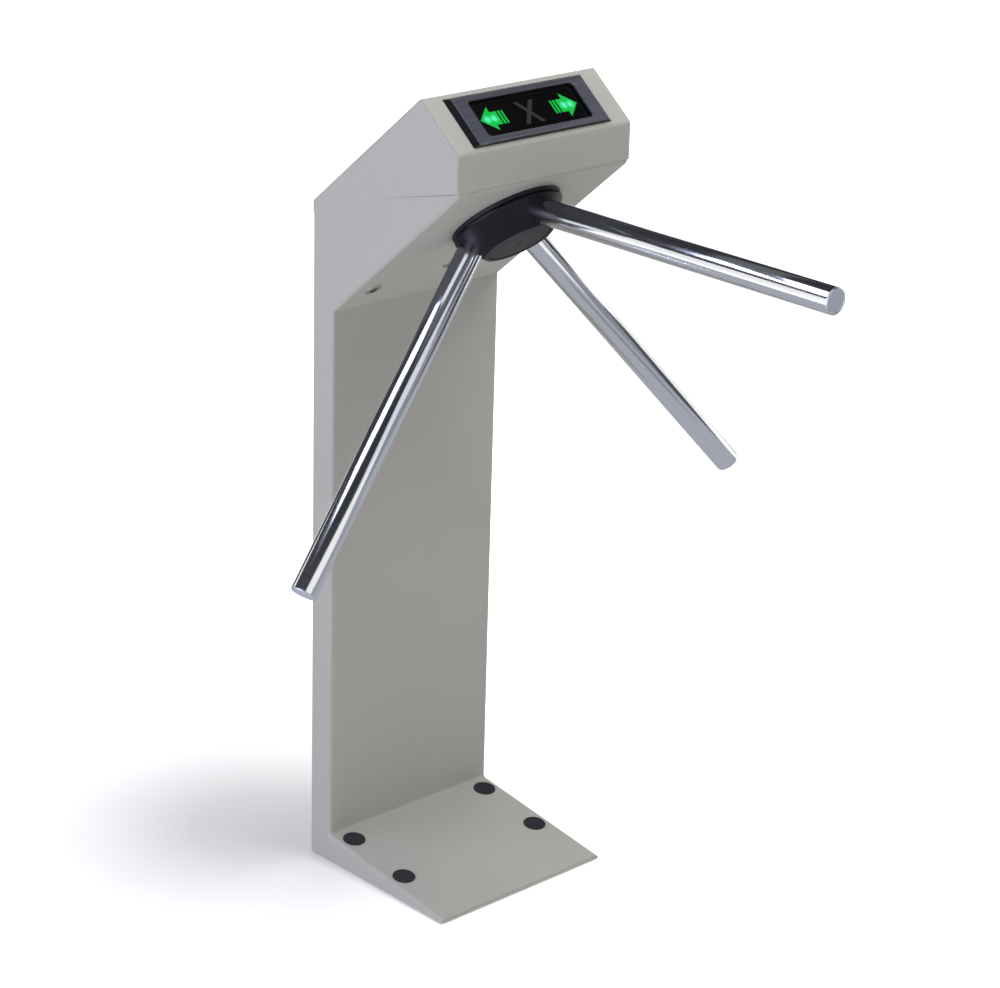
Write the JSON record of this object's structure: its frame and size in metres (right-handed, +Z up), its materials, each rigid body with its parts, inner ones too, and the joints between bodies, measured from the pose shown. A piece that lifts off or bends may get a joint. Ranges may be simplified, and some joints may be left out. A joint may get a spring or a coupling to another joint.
{
  "type": "tripod turnstile",
  "caption": "Compact floor-standing tripod turnstile with an overhanging head, a tilted rotor with polished arms and a sloping arrow display.",
  "frame": {"origin": "middle of the floor-bolt pattern, on the floor", "axes": "+Z up; -Y is the side that the head and the front arm point to; +X is to the right when looking along +Y"},
  "size_m": [0.7354, 0.7193, 1.0491],
  "materials": {
    "powder_coat": "satin, fine texture",
    "galvanised": "satin",
    "black_plastic": "satin",
    "black_metal": "satin",
    "cap_grey": "satin",
    "black_rubber": "matte",
    "chrome_tube": "polished",
    "brushed_trim": "brushed",
    "steel": "machined",
    "brass_gear": "machined",
    "dark_window": "gloss",
    "green_light": "translucent, lit",
    "dim_light": "translucent, unlit",
    "board_green": "satin",
    "coil_red": "satin"
  },
  "bodies": {
    "frame": {"floor_plate": "galvanised", "base_cover": "powder_coat", "left_side_plate": "powder_coat", "right_side_plate": "powder_coat", "front_panel": "powder_coat", "rear_panel": "powder_coat", "column_stiffeners": "galvanised", "anchor_wells": "galvanised", "anchor_plugs": "black_plastic", "cable_grommet": "black_rubber", "hub_ring": "black_plastic", "standoffs": "steel", "stud_nuts": "steel", "mechanism_plate": "galvanised", "bearing_housing": "steel", "housing_screws": "steel", "bearing_outer_rings": "steel", "damper_body": "black_metal", "solenoid_frames": "galvanised", "solenoid_coils": "coil_red", "pawl_pivots": "steel", "spring_post": "steel", "centring_spring": "steel", "sensor_bracket": "galvanised", "position_sensor": "board_green", "control_board": "board_green", "board_standoffs": "steel", "lock_barrels": "steel", "key_switch": "black_plastic"},
    "rotor": {"rotor_shaft": "steel", "bearing_inner_rings": "steel", "hub_body": "black_metal", "hub_bolt": "steel", "hub_cap": "cap_grey", "arm_front": "chrome_tube", "arm_left": "chrome_tube", "arm_right": "chrome_tube", "arm_end_caps": "chrome_tube", "arm_bolts": "steel", "control_disc": "steel", "main_gear": "brass_gear", "encoder_disc": "black_metal", "shaft_nut": "steel"},
    "damper_rotor": {"pinion": "brass_gear", "crank_disc": "steel"},
    "left_pawl": {"left_pawl": "steel"},
    "right_pawl": {"right_pawl": "steel"},
    "left_plunger": {"left_plunger": "steel"},
    "right_plunger": {"right_plunger": "steel"},
    "lid": {"lid_shell": "powder_coat", "lid_catch": "galvanised", "display_bezel": "black_plastic", "display_frame": "brushed_trim", "display_window": "dark_window", "arrow_lights": "green_light", "cross_light": "dim_light", "display_tray": "black_plastic", "display_board": "board_green"},
    "lid_lock": {"lid_lock_plug": "steel"},
    "release_lock": {"release_lock_plug": "steel"}
  },
  "joints": [
    {"name": "rotor_turn", "type": "hinge", "parent": "frame", "child": "rotor", "pos_m": [0, -0.08375, 0.88907], "axis": [0, 0.6518, 0.7584], "continuous": true},
    {"name": "damper_turn", "type": "hinge", "parent": "frame", "child": "damper_rotor", "pos_m": [0, 0.00951, 0.87485], "axis": [0, 0.6518, 0.7584], "continuous": true, "deforming": ["centring_spring"]},
    {"name": "left_plunger_slide", "type": "slide", "parent": "frame", "child": "left_plunger", "axis": [0, 0.7584, -0.6518], "range_m": [0, 0.00503], "stiffness_N_per_m": 60, "springref_m": -0.012},
    {"name": "left_pawl_swing", "type": "hinge", "parent": "frame", "child": "left_pawl", "pos_m": [-0.0646, -0.0654, 0.92867], "axis": [0, -0.6518, -0.7584], "range_deg": [0, 18]},
    {"name": "right_plunger_slide", "type": "slide", "parent": "frame", "child": "right_plunger", "axis": [0, 0.7584, -0.6518], "range_m": [0, 0.00503], "stiffness_N_per_m": 60, "springref_m": -0.012},
    {"name": "right_pawl_swing", "type": "hinge", "parent": "frame", "child": "right_pawl", "pos_m": [0.0646, -0.0654, 0.92867], "axis": [0, 0.6518, 0.7584], "range_deg": [0, 18]},
    {"name": "lid_open", "type": "hinge", "parent": "frame", "child": "lid", "pos_m": [0, -0.15, 0.94921], "axis": [1, 0, 0], "range_deg": [0, 60]},
    {"name": "lid_lock_turn", "type": "hinge", "parent": "frame", "child": "lid_lock", "pos_m": [-0.105, 0.05137, 0.80327], "axis": [0, -0.6518, -0.7584], "range_deg": [0, 90]},
    {"name": "release_lock_turn", "type": "hinge", "parent": "frame", "child": "release_lock", "pos_m": [0, 0.02832, 0.82308], "axis": [0, 0.6518, 0.7584], "range_deg": [0, 90]}
  ],
  "couplings": [
    {"joint": "damper_turn", "follows": "rotor_turn", "ratio": -3},
    {"joint": "left_pawl_swing", "follows": "left_plunger_slide", "rad_per_m": 62.5},
    {"joint": "right_pawl_swing", "follows": "right_plunger_slide", "rad_per_m": 62.5}
  ]
}
